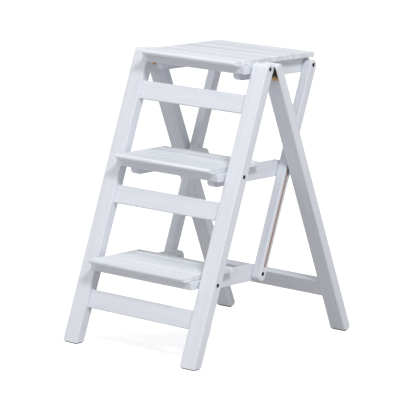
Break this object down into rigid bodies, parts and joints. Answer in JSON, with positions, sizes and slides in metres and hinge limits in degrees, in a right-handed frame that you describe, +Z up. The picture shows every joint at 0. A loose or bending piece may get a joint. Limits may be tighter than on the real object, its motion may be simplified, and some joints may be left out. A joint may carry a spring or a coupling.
{
  "type": "step ladder",
  "caption": "Folding wooden step ladder with slatted treads between leaning stiles, parallel link bars and a hinged rear leg frame.",
  "frame": {"origin": "on the floor, under the middle of the open ladder's footprint", "axes": "+X to the user's right, +Y from the treads' noses towards the rear legs, +Z up"},
  "size_m": [0.38, 0.5494, 0.6412],
  "materials": {
    "white_painted_wood": "satin white paint over wood grain",
    "bare_beech": "unfinished",
    "dark_steel": "black oxide",
    "zinc_steel": "zinc plated",
    "brass": "plain",
    "white_nylon": "matt",
    "dark_rubber": "matt"
  },
  "bodies": {
    "front_frame": {"stile_left": "white_painted_wood", "stile_right": "white_painted_wood", "front_rail_lower": "white_painted_wood", "front_rail_middle": "white_painted_wood", "front_rail_upper": "white_painted_wood", "front_rail_dowels": "bare_beech", "front_foot_pads": "dark_rubber", "step_bolts": "dark_steel", "step_washers": "white_nylon", "hinge_front_leaf_left": "brass", "hinge_pin_left": "brass", "hinge_front_leaf_right": "brass", "hinge_pin_right": "brass", "hinge_front_screws": "zinc_steel"},
    "rear_frame": {"rear_leg_left": "white_painted_wood", "hinge_rear_leaf_left": "brass", "rear_leg_right": "white_painted_wood", "hinge_rear_leaf_right": "brass", "rear_rail": "white_painted_wood", "rear_rail_dowels": "bare_beech", "rear_foot_pads": "dark_rubber", "guide_pins": "dark_steel", "hinge_rear_screws": "zinc_steel"},
    "lower_step": {"lower_step_slat_1": "white_painted_wood", "lower_step_slat_2": "white_painted_wood", "lower_step_batten": "white_painted_wood", "lower_step_bearer_left": "white_painted_wood", "lower_step_bearer_right": "white_painted_wood", "lower_step_screws": "zinc_steel"},
    "middle_step": {"middle_step_slat_1": "white_painted_wood", "middle_step_slat_2": "white_painted_wood", "middle_step_batten": "white_painted_wood", "middle_step_bearer_left": "white_painted_wood", "middle_step_bearer_right": "white_painted_wood", "middle_step_screws": "zinc_steel"},
    "platform": {"platform_slat_1": "white_painted_wood", "platform_slat_2": "white_painted_wood", "platform_slat_3": "white_painted_wood", "platform_batten": "white_painted_wood", "platform_bearer_left": "white_painted_wood", "platform_bearer_right": "white_painted_wood", "platform_screws": "zinc_steel"},
    "link_left": {"link_bar_left": "white_painted_wood", "link_bolts_left": "dark_steel"},
    "link_right": {"link_bar_right": "white_painted_wood", "link_bolts_right": "dark_steel"}
  },
  "joints": [
    {"name": "platform_fold", "type": "hinge", "parent": "front_frame", "child": "platform", "pos_m": [0, -0.04389, 0.62574], "axis": [1, 0, 0], "range_deg": [0, 64]},
    {"name": "middle_step_fold", "type": "hinge", "parent": "front_frame", "child": "middle_step", "pos_m": [0, -0.12275, 0.40055], "axis": [1, 0, 0], "range_deg": [0, 64]},
    {"name": "lower_step_fold", "type": "hinge", "parent": "front_frame", "child": "lower_step", "pos_m": [0, -0.20161, 0.17536], "axis": [1, 0, 0], "range_deg": [0, 64]},
    {"name": "link_left_swing", "type": "hinge", "parent": "platform", "child": "link_left", "pos_m": [-0.13, 0.16971, 0.61224], "axis": [1, 0, 0], "range_deg": [-64, 0]},
    {"name": "link_right_swing", "type": "hinge", "parent": "platform", "child": "link_right", "pos_m": [0.13, 0.16971, 0.61224], "axis": [1, 0, 0], "range_deg": [-64, 0]},
    {"name": "rear_frame_swing", "type": "hinge", "parent": "front_frame", "child": "rear_frame", "pos_m": [0, -0.02748, 0.626], "axis": [1, 0, 0], "range_deg": [-42, 0]}
  ],
  "couplings": [
    {"joint": "middle_step_fold", "follows": "platform_fold", "ratio": 1},
    {"joint": "lower_step_fold", "follows": "platform_fold", "ratio": 1},
    {"joint": "link_left_swing", "follows": "platform_fold", "ratio": -1},
    {"joint": "link_right_swing", "follows": "platform_fold", "ratio": -1},
    {"joint": "rear_frame_swing", "follows": "platform_fold", "ratio": -0.64891}
  ]
}
